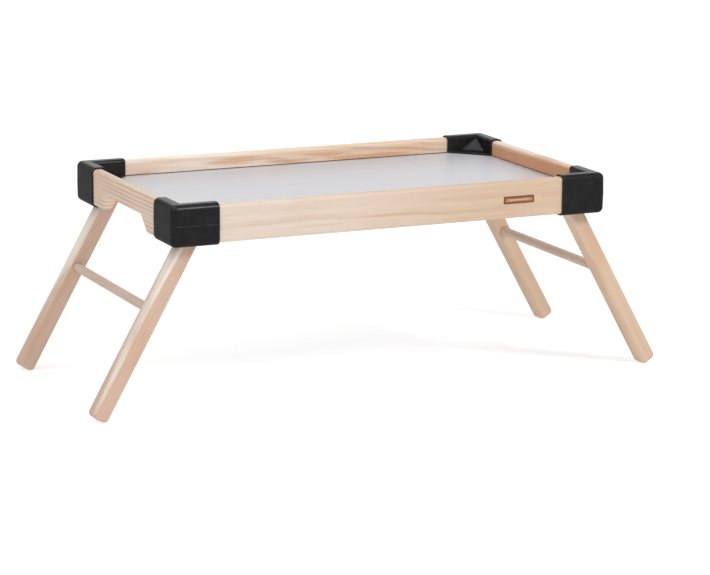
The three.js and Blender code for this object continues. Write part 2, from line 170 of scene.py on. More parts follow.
class Board:  # the node tree of one material
    def __init__(self, name, **sockets):
        self.material = bpy.data.materials.new(name)
        self.material.use_nodes = True
        self.tree = self.material.node_tree
        self.shader = self.tree.nodes["Principled BSDF"]
        for key, value in sockets.items():
            self.shader.inputs[key.replace("_", " ")].default_value = value

    def node(self, kind, settings=None, inputs=None, output=0):
        made = self.tree.nodes.new(kind)
        for key, value in (settings or {}).items():
            setattr(made, key, value)
        for key, value in (inputs or {}).items():
            self.feed(made.inputs[key], value)
        return Wire(self, made.outputs[output])

    def feed(self, socket, value):
        if isinstance(value, Wire):
            self.tree.links.new(value.socket, socket)
        elif socket.type == "RGBA" and len(value) == 3:
            socket.default_value = (*value, 1)
        else:
            socket.default_value = value

    def maths(self, operation, *values):
        return self.node("ShaderNodeMath", {"operation": operation}, dict(enumerate(values)))

    def vector(self, operation, a, b):
        return self.node("ShaderNodeVectorMath", {"operation": operation}, {0: a, 1: b})

    def scaled(self, a, amount):  # a vector or colour times a number
        return self.node("ShaderNodeVectorMath", {"operation": "SCALE"}, {0: a, "Scale": amount})

    def split(self, vector):
        made = self.node("ShaderNodeSeparateXYZ", None, {0: vector})
        return [Wire(self, s) for s in made.socket.node.outputs]

    def noise(self, vector, detail=2, roughness=0.5, distortion=0):
        return self.node("ShaderNodeTexNoise", None, {"Vector": vector, "Scale": 1, "Detail": detail,
                                                      "Roughness": roughness, "Distortion": distortion})

    def grains(self, p, size, detail=2, roughness=0.5, distortion=0):  # noise with lumps of one size
        return self.noise(self.scaled(p, 1 / size), detail, roughness, distortion)

    def streaks(self, p, along, across, detail=2, roughness=0.5):  # noise drawn out along X
        return self.noise(self.vector("MULTIPLY", p, (along, across, across)), detail, roughness)

    def chance(self, number):  # one random value for each whole number
        return self.node("ShaderNodeTexWhiteNoise", {"noise_dimensions": "1D"}, {"W": number})

    def between(self, value, low, high, out=(0, 1)):  # a smooth step, clamped
        return self.node("ShaderNodeMapRange", {"interpolation_type": "SMOOTHSTEP"},
                         {"Value": value, "From Min": low, "From Max": high,
                          "To Min": out[0], "To Max": out[1]})

    def blend(self, amount, a, b):
        return self.node("ShaderNodeMix", {"data_type": "RGBA"}, {0: amount, 6: a, 7: b}, 2)

    def inPiece(self, centre=(0, 0, 0), turn=(0, 0, 0)):  # a piece's own coordinates, in millimetres
        place = self.node("ShaderNodeTexCoord", output="Object")
        return self.node("ShaderNodeMapping", {"vector_type": "TEXTURE"},
                         {"Vector": place, "Location": Vector(centre) / metre, "Rotation": turn,
                          "Scale": (1 / metre,) * 3})

    def finish(self, colour=None, roughness=None, height=None, relief=0.05, strength=1):
        if colour is not None:
            self.feed(self.shader.inputs["Base Color"], colour)
        if roughness is not None:
            self.feed(self.shader.inputs["Roughness"], roughness)
        if height is not None:
            bump = self.node("ShaderNodeBump", None, {"Height": height, "Strength": strength,
                                                      "Distance": relief / metre})
            self.feed(self.shader.inputs["Normal"], bump)
        return self.material


def floorPaint(s):  # a matt white that glows faintly, more so further off
    board = Board("floor_paint", Roughness=0.9, Specular_IOR_Level=0.1, Emission_Strength=1.0)
    board.feed(board.shader.inputs["Base Color"], (s["floorShade"],) * 3)
    place = board.node("ShaderNodeTexCoord", output="Object")
    away = board.node("ShaderNodeVectorMath", {"operation": "LENGTH"}, {0: place}, "Value")
    glow = board.between(away, *s["glowReach"])
    board.feed(board.shader.inputs["Emission Color"], board.blend(glow, *((g,) * 3 for g in s["glow"])))
    return board.material


def makeStudio(s):
    world = bpy.data.worlds.new("studio")
    world.use_nodes = True
    sky = world.node_tree.nodes["Background"]
    sky.inputs["Color"].default_value = (*s["sky"], 1)
    sky.inputs["Strength"].default_value = s["skyStrength"]
    scene.world = world
    for name in ("key", "glint", "top", "back", "side"):
        makeLight(name, s[name])
    scene.view_settings.view_transform = "Standard"
    bm = bmesh.new()
    bmesh.ops.create_grid(bm, x_segments=1, y_segments=1, size=s["floorSize"] / 2)
    mesh = bpy.data.meshes.new("floor")
    bmesh.ops.translate(bm, verts=bm.verts, vec=(0, 0, -s["floorDrop"]))
    bm.to_mesh(mesh)
    bm.free()
    floor = bpy.data.objects.new("floor", mesh)
    floor.visible_glossy = False  # its glow lights the pieces but isn't mirrored in the black caps
    scene.collection.objects.link(floor)
    mesh.materials.append(floorPaint(s))


makeStudio(studioSettings)
print("camera, lights and floor made")


# ---- pine ----

pineSettings = {  # sizes are millimetres along and across the grain
    "early": (0.68, 0.515, 0.385), "late": (0.47, 0.260, 0.140), "warm": (0.585, 0.355, 0.225),
    # the pale band's colour and its reach from the pith: on the two left legs this band is painted light,
    # paling their outer sides, which face up and to the left
    "paleBandColour": (0.83, 0.745, 0.65), "paleBandReach": (900, 901), "far": None, "drift": (-150, 150),
    "cut": (0.42, 0.27, 0.165), "tone": 1.045, "pith": (60, 0), "lean": (0.0, 0.02), "ring": 3.2, "wander": 9,
    "wave": (230, 90), "ripple": (70, 30), "ringDrift": (900, 14), "ringJitter": 1.6,
    "lateRise": (0.30, 0.92), "lateFall": (0.93, 1.0), "contrast": 0.55, "fade": (160, 40),
    "blotch": 0.35, "patch": (95, 26), "marks": (), "streak": (45, 2), "ragged": 2.2,
    "fibre": 0.10, "fibreSize": (34, 0.9), "fineSize": (12, 0.28), "fleck": 0.22, "fleckSize": (5, 0.5),
    "wear": 0.06, "wearSize": (18, 5), "wearBand": (2.6, 0.4), "endGrain": 0.55, "roughness": 0.50,
    "coat": 0.12, "coatRoughness": 0.32, "relief": 0.05, "seed": 1,
}
seedStep = Vector((137.0, 71.0, 29.0))  # how far one seed moves the pattern from the next


def pine(name, centre, turn, half, **changes):
    # grain runs along the piece's own X; half is the piece's half width and half depth on its own Y and Z
    s = {**pineSettings, **changes}
    board = Board(name, IOR=1.45, Coat_Weight=s["coat"], Coat_Roughness=s["coatRoughness"])
    p = board.inPiece(centre, turn)
    along, across, upward = board.split(p)
    seeded = board.vector("ADD", p, seedStep * s["seed"])

    def grainNoise(size, detail=2, roughness=0.5):
        return board.streaks(seeded, 1 / size[0], 1 / size[1], detail, roughness)

    # growth rings about a pith line that lies beside the piece and wanders along it
    wave = grainNoise(s["wave"]) - 0.5
    ripple = grainNoise(s["ripple"], 1) - 0.5
    pithY, pithZ = s["pith"]
    leanY, leanZ = s["lean"]
    fromPithY = across - pithY + along * leanY + wave * s["wander"]
    fromPithZ = (upward - pithZ + along * leanZ + wave * (s["wander"] * 0.6)
                 + ripple * (s["wander"] * 0.25))
    distance = (fromPithY * fromPithY + fromPithZ * fromPithZ) ** 0.5
    ring = distance / s["ring"] + (grainNoise(s["ringDrift"], 1) - 0.5) * s["ringJitter"]
    whole = board.maths("FLOOR", ring)
    phase = ring - whole
    lateWood = board.between(phase, *s["lateRise"]) - board.between(phase, *s["lateFall"])
    boldness = board.chance(whole + s["seed"] * 17) * 0.75 + 0.25
    fade = board.between(grainNoise(s["fade"], 1), 0.36, 0.62, (0.35, 1.0))
    bands = lateWood * boldness * fade * s["contrast"]

    fibre = grainNoise(s["fibreSize"], 3, 0.6)
    fineFibre = grainNoise(s["fineSize"], 2, 0.6)
    fleck = board.between(grainNoise(s["fleckSize"], 1), 0.70, 0.80)
    patch = board.between(grainNoise(s["patch"]), 0.46, 0.70)

    # a pale band far from the pith: on the two left legs it is painted light on their outer sides, which face
    # up and to the left
    paleBand = board.between(distance, *s["paleBandReach"])
    plain = board.blend(paleBand, s["early"], s["paleBandColour"])
    if s["far"]:  # the wood changes from one end of the board to the other
        plain = board.blend(board.between(along, *s["drift"]), plain, s["far"])
    colour = board.blend(patch * s["blotch"], plain, s["warm"])
    for x, z, length, height, strength in s["marks"]:  # soft resin-coloured streaks along the grain
        overX = (along - x) / length
        overZ = (upward - z + wave * 14 + ripple * 5) / height
        inside = 1 - overX * overX - overZ * overZ + (grainNoise(s["streak"]) - 0.5) * s["ragged"]
        colour = board.blend(board.between(inside, 0, 1.1) * strength, colour, s["warm"])
    colour = board.blend(bands, colour, s["late"])
    colour = board.blend(fleck * s["fleck"], colour, s["late"])
    shade = 1 + (fibre - 0.5) * (2 * s["fibre"]) + (fineFibre - 0.5) * s["fibre"]

    # the ends of the piece show cut fibres, and its long edges are worn a little paler
    facing = board.node("ShaderNodeTexCoord", output="Normal")
    axis = Matrix.Rotation(turn[2], 3, "Z") @ Matrix.Rotation(turn[1], 3, "Y") @ Vector((1, 0, 0))
    towards = board.node("ShaderNodeVectorMath", {"operation": "DOT_PRODUCT"}, {0: facing, 1: axis},
                         "Value")
    endGrain = board.between(board.maths("ABSOLUTE", towards), 0.72, 0.97)
    band, edge = s["wearBand"]
    nearY = board.between(board.maths("ABSOLUTE", across), half[0] - band, half[0] - edge)
    nearZ = board.between(board.maths("ABSOLUTE", upward), half[1] - band, half[1] - edge)
    worn = nearY * nearZ * board.between(grainNoise(s["wearSize"]), 0.40, 0.66)
    colour = board.blend(endGrain * s["endGrain"], colour, s["cut"])
    colour = board.scaled(colour, shade * s["tone"] * (1 + worn * s["wear"]) * (1 - fleck * 0.05))

    roughness = s["roughness"] + (fibre - 0.5) * 0.16 - bands * 0.10 - worn * 0.08 + endGrain * 0.18
    height = fibre * 0.6 + fineFibre * 0.3 - bands * 0.5 - fleck * 0.5
    return board.finish(colour, roughness, height, s["relief"], 0.6)


# ---- moulded plastic, laminate, steel, nylon and veneer ----

plasticSettings = {  # sizes are millimetres
    "black": (0.0135, 0.0135, 0.0146), "grey": (0.0185, 0.0185, 0.0200), "scuff": (0.030, 0.030, 0.032),
    "mottle": 8, "cloud": 21, "pebble": 0.55, "roughness": 0.34, "gloss": 0.55, "relief": 0.02,
}


def mouldedPlastic(name, s):
    board = Board(name, IOR=1.42, Specular_IOR_Level=0.01, Coat_IOR=1.5, Coat_Roughness=0.28)
    p = board.inPiece()
    mottle = board.grains(p, s["mottle"], 2, 0.5, 0.6)
    cloud = board.grains(p, s["cloud"])
    pebble = board.grains(p, s["pebble"])
    scratch = board.between(board.streaks(p, 0.05, 2.4, 2, 0.7), 0.71, 0.78)
    scratch = scratch * board.between(cloud, 0.5, 0.7)
    colour = board.blend(board.between(mottle, 0.38, 0.66) * 0.7, s["black"], s["grey"])
    colour = board.blend(scratch * 0.30, colour, s["scuff"])
    roughness = s["roughness"] + (mottle - 0.5) * 0.18 + (cloud - 0.5) * 0.14 + scratch * 0.12
    gloss = s["gloss"] + (mottle - 0.5) * 0.20 + (cloud - 0.5) * 0.24
    board.feed(board.shader.inputs["Coat Weight"], gloss)
    height = mottle * 0.6 + pebble * 0.4 - scratch * 0.2
    return board.finish(colour, roughness, height, s["relief"], 0.5)


laminateSettings = {
    "cool": (0.583, 0.585, 0.624), "warm": (0.598, 0.592, 0.608), "mark": (0.50, 0.50, 0.52),
    "cloud": 85, "peel": 1.3, "grit": 0.35, "roughness": 0.33, "relief": 0.012,
}


def laminate(name, s):
    board = Board(name, IOR=1.46)
    p = board.inPiece()
    cloud = board.grains(p, s["cloud"], 3)
    peel = board.grains(p, s["peel"])
    grit = board.grains(p, s["grit"], 1)
    wipes = board.streaks(p, 0.012, 0.35, 3, 0.6)
    mark = board.between(board.streaks(p, 0.035, 1.1, 1), 0.72, 0.78)
    colour = board.blend(board.between(cloud, 0.35, 0.65), s["cool"], s["warm"])
    colour = board.blend(mark * 0.10, colour, s["mark"])
    colour = board.scaled(colour, 1 + (grit - 0.5) * 0.03)
    roughness = s["roughness"] + (wipes - 0.5) * 0.14 + (peel - 0.5) * 0.06 - mark * 0.08
    return board.finish(colour, roughness, peel * 0.8 + grit * 0.2, s["relief"], 0.5)


steelSettings = {
    "bright": (0.66, 0.66, 0.66), "dull": (0.43, 0.44, 0.46), "tint": (0.63, 0.60, 0.50),
    "cloud": 2.2, "tintSize": 6, "fine": 0.18, "roughness": 0.28, "relief": 0.015,
}


def zincSteel(name, s):
    board = Board(name, Metallic=1.0)
    p = board.inPiece()
    cloud = board.grains(p, s["cloud"], 3, 0.6)
    tint = board.grains(p, s["tintSize"], 1)
    fine = board.grains(p, s["fine"], 2, 0.6)
    colour = board.blend(board.between(cloud, 0.38, 0.68), s["bright"], s["dull"])
    colour = board.blend(board.between(tint, 0.5, 0.72) * 0.4, colour, s["tint"])
    roughness = s["roughness"] + (cloud - 0.5) * 0.25 + (fine - 0.5) * 0.12
    return board.finish(colour, roughness, fine, s["relief"], 0.5)


nylonSettings = {
    "dark": (0.014, 0.014, 0.015), "light": (0.026, 0.026, 0.027), "cloud": 3, "fine": 0.3,
    "roughness": 0.48, "relief": 0.02,
}


def nylon(name, s):
    board = Board(name, IOR=1.5)
    p = board.inPiece()
    cloud = board.grains(p, s["cloud"])
    fine = board.grains(p, s["fine"])
    colour = board.blend(cloud, s["dark"], s["light"])
    return board.finish(colour, s["roughness"] + (cloud - 0.5) * 0.2, fine, s["relief"], 0.4)


veneerSettings = {
    "face": (0.465, 0.182, 0.075), "pale": (0.56, 0.256, 0.122), "scorch": (0.16, 0.060, 0.026),
    "inlay": (0.66, 0.43, 0.27), "inlayLength": 23, "inlayHeight": 1.5, "border": 3.0, "uneven": 1.6,
    "roughness": 0.52, "relief": 0.05,
}


def scorchedVeneer(name, centre, half, s):  # a burnt border round a plain inlaid line
    board = Board(name, IOR=1.45)
    p = board.inPiece(centre)
    x, _, z = board.split(p)
    fromMiddleX = board.maths("ABSOLUTE", x)
    fromMiddleZ = board.maths("ABSOLUTE", z)
    grain = board.streaks(p, 0.06, 2.2, 3, 0.6)
    uneven = (board.grains(p, s["uneven"]) - 0.5) * 0.7
    fromEdge = board.maths("MINIMUM", half[0] - fromMiddleX, half[1] - fromMiddleZ)
    burnt = 1 - board.between(fromEdge + uneven, s["border"] * 0.3, s["border"])
    line = board.maths("MINIMUM", s["inlayLength"] / 2 - fromMiddleX, s["inlayHeight"] / 2 - fromMiddleZ)
    inlay = board.between(line, -0.1, 0.15)
    colour = board.blend(board.between(grain, 0.38, 0.66), s["face"], s["pale"])
    colour = board.blend(burnt * 0.9, colour, s["scorch"])
    colour = board.blend(inlay * 0.8, colour, s["inlay"])
    height = grain * 0.5 - burnt * 0.5 + inlay * 0.3
    return board.finish(colour, s["roughness"] + burnt * 0.14, height, s["relief"], 0.5)


blackPlastic = mouldedPlastic("black_plastic", plasticSettings)
zinc = zincSteel("zinc_steel", steelSettings)
blackNylon = nylon("black_nylon", nylonSettings)
print("shared materials made")


# ---- shaping ----

arcSteps = 8  # facets in each quarter round
onFace = 0.01  # a point this near a surface lies on it
planeAxes = {"xy": (0, 1, 2), "xz": (0, 2, 1), "yz": (1, 2, 0)}  # an outline's axes, then the one drawn out


def near(a, b):
    return abs(a - b) < onFace


def clean(bm):  # merges doubles, drops slivers and turns every face outwards
    bmesh.ops.remove_doubles(bm, verts=bm.verts, dist=0.003)
    bmesh.ops.dissolve_degenerate(bm, edges=bm.edges, dist=0.001)
    bmesh.ops.recalc_face_normals(bm, faces=bm.faces)
    return bm


def edgesWhere(bm, test):  # the edges whose two ends both pass a test
    return [e for e in bm.edges if all(test(v.co) for v in e.verts)]


def turnAll(bm, degrees, axis):  # about the origin
    turn = Matrix.Rotation(math.radians(degrees), 3, axis)
    bmesh.ops.rotate(bm, verts=bm.verts, cent=(0, 0, 0), matrix=turn)


def sliceAll(bm, height, upward, **more):  # cuts every face at a height
    return bmesh.ops.bisect_plane(bm, geom=bm.verts[:] + bm.edges[:] + bm.faces[:], plane_co=(0, 0, height),
                                  plane_no=(0, 0, upward), dist=0.001, **more)


def bevelEdges(bm, edges, size, segments=arcSteps):
    bmesh.ops.bevel(bm, geom=edges, offset=size, offset_type="OFFSET", segments=segments, profile=0.5,
                    affect="EDGES", clamp_overlap=False, material=-1)


def roundCorner(bm, vert, radius):  # rounds one corner of a flat outline
    sides = [(e.other_vert(vert).co - vert.co).normalized() for e in vert.link_edges]
    reach = radius / math.tan(sides[0].angle(sides[1]) / 2)
    bmesh.ops.bevel(bm, geom=[vert], offset=reach, offset_type="OFFSET", segments=arcSteps, profile=0.5,
                    affect="VERTICES", clamp_overlap=False, material=-1)


def slab(plane, outline, low, high):  # an outline of (a, b) or (a, b, radius) corners, drawn out
    a, b, out = planeAxes[plane]
    bm = bmesh.new()
    ring = []
    for corner in outline:
        place = Vector()
        place[a], place[b], place[out] = corner[0], corner[1], low
        ring.append(bm.verts.new(place))
    bm.faces.new(ring)
    for vert, corner in zip(ring, outline):
        if len(corner) == 3:
            roundCorner(bm, vert, corner[2])
    made = bmesh.ops.extrude_face_region(bm, geom=list(bm.faces), use_keep_orig=True)
    move = Vector()
    move[out] = high - low
    drawn = [g for g in made["geom"] if isinstance(g, bmesh.types.BMVert)]
    bmesh.ops.translate(bm, verts=drawn, vec=move)
    return clean(bm)


def block(low, high, radius=0, along="x"):  # a box with the edges along one axis rounded
    plane = {"x": "yz", "y": "xz", "z": "xy"}[along]
    a, b, out = planeAxes[plane]
    rounded = (radius,) if radius else ()
    outline = [(low[a], low[b], *rounded), (high[a], low[b], *rounded),
               (high[a], high[b], *rounded), (low[a], high[b], *rounded)]
    return slab(plane, outline, low[out], high[out])


def turned(profile, centre, axis="z", closed=False, steps=48):
    # a round solid from (radius, place) pairs, which start and end on its axis unless it is a closed ring
    bm = bmesh.new()
    chain = [bm.verts.new((radius, 0, place)) for radius, place in profile]
    edges = [bm.edges.new(pair) for pair in zip(chain, chain[1:] + chain[:1] * closed)]
    bmesh.ops.spin(bm, geom=chain + edges, cent=(0, 0, 0), axis=(0, 0, 1), angle=2 * math.pi,
                   steps=steps, use_merge=True)
    if axis == "y":
        turnAll(bm, -90, "X")
    bmesh.ops.translate(bm, verts=bm.verts, vec=centre)
    return clean(bm)


def rod(radius, low, high, centre, axis="z"):
    return turned([(0, low), (radius, low), (radius, high), (0, high)], centre, axis)


def carve(bm, tool, operation="DIFFERENCE"):  # cuts a tool out of a solid, or joins it on
    pair = []
    for part in (bm, tool):
        mesh = bpy.data.meshes.new("carving")
        part.to_mesh(mesh)
        part.free()
        pair.append(bpy.data.objects.new("carving", mesh))
        scene.collection.objects.link(pair[-1])
    cut = pair[0].modifiers.new("cut", "BOOLEAN")
    cut.operation = operation
    cut.solver = "EXACT"
    cut.object = pair[1]
    evaluated = pair[0].evaluated_get(bpy.context.evaluated_depsgraph_get())
    shaped = bpy.data.meshes.new_from_object(evaluated)
    result = bmesh.new()
    result.from_mesh(shaped)
    for piece in pair:
        bpy.data.meshes.remove(piece.data)
    bpy.data.meshes.remove(shaped)
    return clean(result)


def mirrored(bm, sx, sy):
    bmesh.ops.scale(bm, verts=bm.verts, vec=(sx, sy, 1))
    return clean(bm)


def finishPiece(bm, name, node, material, sharpest=34):
    # brings a shaped piece to metres and stands it in for its CAD node
    clean(bm)
    bmesh.ops.scale(bm, verts=bm.verts, vec=(1 / metre,) * 3)
    mesh = bpy.data.meshes.new(name)
    bm.to_mesh(mesh)
    bm.free()
    mesh.shade_smooth()
    mesh.set_sharp_from_angle(angle=math.radians(sharpest))
    mesh.materials.append(material)
    piece = bpy.data.objects.new(name, mesh)
    scene.collection.objects.link(piece)
    even = piece.modifiers.new("even_shading", "WEIGHTED_NORMAL")
    even.keep_sharp = True
    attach(piece, frame["nodes"][node]["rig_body"])
    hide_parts(node)


def onCorners(bm, name, node, material):  # the front left piece, mirrored to all four corners
    for corner, (sx, sy) in corners.items():
        finishPiece(mirrored(bm.copy(), sx, sy), name + corner, node + corner, material)
    bm.free()


# ---- sizes taken from the frame ----

capLow, capHigh = boxOf("corner_cap_front_left")
railLow, railHigh = boxOf("rail_front")
panelLow, panelHigh = boxOf("tray_panel")
panelEdgeStep = 0.4  # the panel's edge is sunk this much where it enters the grooves


# ---- rails ----

railSettings = {
    "edgeRadius": 4, "grooveDepth": 5.5, "grooveRoom": 0.9,
    "archBottom": 132, "archTop": 96, "archRise": 16.3, "archCorner": 3.5, "archFoot": 5, "archEdge": 3.4,
    "lengthways": 36,  # an edge longer than this runs along the rail
}
railLooks = {  # a mark is its place along and up the board, its half length, half height and strength
    "rail_front": {"pith": (62, 15), "lean": (0, 0.012), "ring": 3.6, "contrast": 0.26, "seed": 3,
                   "wander": 4, "early": (0.725, 0.605, 0.510), "far": (0.635, 0.472, 0.342), "blotch": 0.15,
                   "marks": ((45, -7, 130, 2.4, 0.55), (-105, -11, 50, 1.8, 0.3), (110, 7, 70, 5, 0.3),
                             (100, -15, 80, 2.5, 0.35), (183, 3, 16, 4, 0.4))},
    "rail_rear": {"pith": (-58, -6), "lean": (0.02, 0.05), "ring": 4.2, "contrast": 0.50, "seed": 7,
                  "wander": 16, "early": (0.94, 0.80, 0.665), "far": (0.85, 0.635, 0.47),
                  "warm": (0.73, 0.41, 0.235), "blotch": 0.25, "patch": (110, 15),
                  "marks": ((-180, 5, 26, 3, 0.8), (-66, 10, 42, 5, 0.8), (-4, 8, 46, 4, 0.7),
                            (46, 13, 40, 4, 0.7), (98, 8, 70, 4, 0.9), (150, 13, 40, 3, 0.6))},
    "rail_left_end": {"pith": (4, -85), "lean": (0, 0.01), "ring": 4.3, "contrast": 0.95, "seed": 11,
                      "wander": 5, "early": (0.735, 0.58, 0.47), "blotch": 0.30},
    "rail_right_end": {"pith": (4, -60), "lean": (0, 0.02), "ring": 4.0, "contrast": 0.50, "seed": 15,
                       "wander": 6, "early": (0.69, 0.345, 0.19), "warm": (0.64, 0.29, 0.135), "blotch": 0.9,
                       "paleBandColour": (0.80, 0.67, 0.54), "paleBandReach": (75, 80)},
}


def grooveHeights():  # the panel lies in the grooves with a little room above it
    return panelLow.z - restGap, panelHigh.z - panelEdgeStep + restGap + railSettings["grooveRoom"]


def longRail(node, s):
    low, high = boxOf(node)
    outer, inner = (low.y, high.y) if low.y < 0 else (high.y, low.y)
    bottom = inner - math.copysign(s["grooveDepth"], inner - outer)
    foot, top = grooveHeights()
    section = [(outer, low.z), (inner, low.z), (inner, foot), (bottom, foot),
               (bottom, top), (inner, top), (inner, high.z), (outer, high.z)]
    bm = slab("yz", section, low.x, high.x)
    for z in (low.z, high.z):
        level = edgesWhere(bm, lambda co: near(co.z, z))
        bevelEdges(bm, [e for e in level if e.calc_length() > s["lengthways"]], s["edgeRadius"])
    return bm


def endRail(node, s):
    low, high = boxOf(node)
    crown = low.z + s["archRise"]
    wide, narrow = s["archBottom"] / 2, s["archTop"] / 2
    outline = [(low.y, low.z), (-wide, low.z, s["archFoot"]), (-narrow, crown, s["archCorner"]),
               (narrow, crown, s["archCorner"]), (wide, low.z, s["archFoot"]),
               (high.y, low.z), (high.y, high.z), (low.y, high.z)]
    bm = slab("yz", outline, low.x, high.x)
    top = [e for e in edgesWhere(bm, lambda co: near(co.z, high.z)) if e.calc_length() > s["lengthways"]]
    bevelEdges(bm, top, s["edgeRadius"])
    under = [e for side in (low.x, high.x)
             for e in edgesWhere(bm, lambda co: near(co.x, side) and co.z < crown + onFace)]
    bevelEdges(bm, under, s["archEdge"])
    inward = -math.copysign(1, low.x)
    inner = low.x if inward < 0 else high.x
    foot, head = grooveHeights()
    reach = sorted((inner - inward * s["grooveDepth"], inner + inward * past))
    groove = block(Vector((reach[0], low.y - past, foot)), Vector((reach[1], high.y + past, head)))
    return carve(bm, groove)


badgeSettings = {"corner": 1.0, "edge": 0.22, "pocket": 0.7}


def badgeBlock(low, high, grow, front, back, corner):
    return block(Vector((low.x - grow, front, low.z - grow)), Vector((high.x + grow, back, high.z + grow)),
                 corner, "y")


def makeRails():
    badgeLow, badgeHigh = boxOf("badge_plate")
    for node in railLooks:
        low, high = boxOf(node)
        centre = (low + high) / 2
        isLong = high.x - low.x > high.y - low.y
        turn = (0, 0, 0) if isLong else (0, 0, math.radians(90))
        half = ((high.y - low.y if isLong else high.x - low.x) / 2, (high.z - low.z) / 2)
        bm = longRail(node, railSettings) if isLong else endRail(node, railSettings)
        if node == "rail_front":
            face = low.y
            bm = carve(bm, badgeBlock(badgeLow, badgeHigh, restGap, face - past,
                                      face + badgeSettings["pocket"], badgeSettings["corner"]))
        wood = pine("pine_" + node, centre, turn, half, **railLooks[node])
        finishPiece(bm, "pine_" + node, node, wood)
    badge = badgeBlock(badgeLow, badgeHigh, 0, badgeLow.y, badgeHigh.y, badgeSettings["corner"])
    bevelEdges(badge, edgesWhere(badge, lambda co: near(co.y, badgeLow.y)), badgeSettings["edge"], 3)
    half = (badgeHigh - badgeLow) / 2
    veneer = scorchedVeneer("scorched_veneer", (badgeLow + badgeHigh) / 2, (half.x, half.z), veneerSettings)
    finishPiece(badge, "blank_badge", "badge_plate", veneer)


makeRails()
frame["nodes"]["tray_panel"].data.materials.clear()
frame["nodes"]["tray_panel"].data.materials.append(laminate("panel_laminate", laminateSettings))
print("rails, badge and panel made")


# ---- corner caps ----

capSettings = {
    "skin": 0.3, "wall": 1.7, "outerRadius": 6.2, "innerTop": 3.5, "innerFoot": 1.5, "rim": 0.45,
    "draft": 0.35, "draftReach": 8, "ridgeHalf": 0.6, "ridge": 0.3, "endRoom": 1.2,
    "web": 2, "webEdge": 0.6, "gusset": 20, "gussetDrop": 3.6, "gussetFoot": 1.2,
    "screwFromMouth": 9, "screwHead": 6.2, "screwShank": 3, "screwSink": 1.6, "pivotHole": 5.6,
}


def capPlan(s):  # the front left cap's outer faces, inner walls and mouths
    inner = Vector((capLow.x, capLow.y)) + Vector((1, 1)) * (railHigh.y - capLow.y + restGap + s["wall"])
    return {"x": capLow.x, "y": capLow.y, "innerX": inner.x, "innerY": inner.y,
            "mouthX": capHigh.x, "mouthY": capHigh.y}


def capShell(s, plan):
    skin = s["skin"]
    left, front = plan["x"] + skin, plan["y"] + skin
    middle = (capLow.z + capHigh.z) / 2
    outline = [(left, front), (plan["mouthX"], front), (plan["mouthX"], plan["innerY"]),
               (plan["innerX"], plan["innerY"]), (plan["innerX"], plan["mouthY"]), (left, plan["mouthY"])]
    bm = slab("xy", outline, capLow.z, capHigh.z)

    def outside(co):
        return near(co.x, left) or near(co.y, front)

    def inside(co):
        return (near(co.x, plan["innerX"]) and co.y > plan["innerY"] - onFace
                or near(co.y, plan["innerY"]) and co.x > plan["innerX"] - onFace)

    def crosses(e):  # an edge that runs round a mouth
        return (all(near(v.co.x, plan["mouthX"]) for v in e.verts)
                or all(near(v.co.y, plan["mouthY"]) for v in e.verts))

    bevelEdges(bm, [e for e in edgesWhere(bm, outside) if not crosses(e)], s["outerRadius"])
    top = edgesWhere(bm, lambda co: inside(co) and near(co.z, capHigh.z))
    bevelEdges(bm, [e for e in top if not crosses(e)], s["innerTop"], 6)
    foot = edgesWhere(bm, lambda co: inside(co) and near(co.z, capLow.z))
    bevelEdges(bm, [e for e in foot if not crosses(e)], s["innerFoot"], 4)
    bevelEdges(bm, [e for e in bm.edges if crosses(e)], s["rim"], 3)

    # the two halves of the mould meet at mid height, where a fine ridge stands, and both lean in from there
    for height in (middle - s["ridgeHalf"], middle, middle + s["ridgeHalf"]):
        sliceAll(bm, height, 1)
    turn = Vector((left, front)) + Vector((1, 1)) * s["outerRadius"]
    for vert in bm.verts:
        co = vert.co
        nearX = max(0, 1 - (co.x - left) / s["draftReach"])
        nearY = max(0, 1 - (co.y - front) / s["draftReach"])
        out = Vector((min(0, co.x - turn.x), min(0, co.y - turn.y)))
        if near(co.z, middle) and out.length > s["outerRadius"] - 0.5:
            out = out.normalized() * s["ridge"]
            co.x += out.x
            co.y += out.y
        lean = s["draft"] * abs(co.z - middle) / (capHigh.z - middle)
        co.x += lean * nearX
        co.y += lean * nearY
    return clean(bm)


def capGusset(s, plan):  # slopes from the web up to the inner corner
    foot = panelHigh.z - panelEdgeStep + restGap + s["web"] / 2
    rise = foot + s["web"] / 2 + s["gussetFoot"]
    inX, inY = plan["innerX"] - s["wall"] / 2, plan["innerY"] - s["wall"] / 2
    reach = s["gusset"] + s["wall"] / 2
    top = capHigh.z - s["gussetDrop"]
    bm = bmesh.new()
    for x, y in ((inX, inY), (inX + reach, inY), (inX, inY + reach)):
        bm.verts.new((x, y, foot))
        bm.verts.new((x, y, rise))
    for place in ((inX, inY, top), (plan["innerX"], plan["innerY"], top)):
        bm.verts.new(place)
    bmesh.ops.convex_hull(bm, input=bm.verts)
    bmesh.ops.dissolve_limit(bm, angle_limit=0.01, verts=bm.verts, edges=bm.edges)
    return clean(bm)


def capWeb(s, plan):  # lies on the panel from mouth to mouth
    inX, inY = plan["innerX"] - s["wall"] / 2, plan["innerY"] - s["wall"] / 2
    foot = panelHigh.z - panelEdgeStep + restGap
    outline = [(inX, inY), (plan["mouthX"] - s["rim"], inY), (plan["mouthX"] - s["rim"], plan["innerY"]),
               (plan["innerX"], plan["mouthY"] - s["rim"]), (inX, plan["mouthY"] - s["rim"])]
    bm = slab("xy", outline, foot, foot + s["web"])
    slope = [e for e in bm.edges if abs(e.verts[0].co.x - e.verts[1].co.x) > 20
             and abs(e.verts[0].co.y - e.verts[1].co.y) > 20 and e.verts[0].co.z > foot + s["web"] / 2]
    bevelEdges(bm, slope, s["webEdge"], 3)
    return bm


def screwPlaces(s, plan):  # one screw up into each rail
    middle = (railLow.y + railHigh.y) / 2 - capLow.y
    reach = plan["mouthX"] - plan["x"] - s["screwFromMouth"]
    return {"long": (plan["x"] + reach, plan["y"] + middle), "end": (plan["x"] + middle, plan["y"] + reach)}


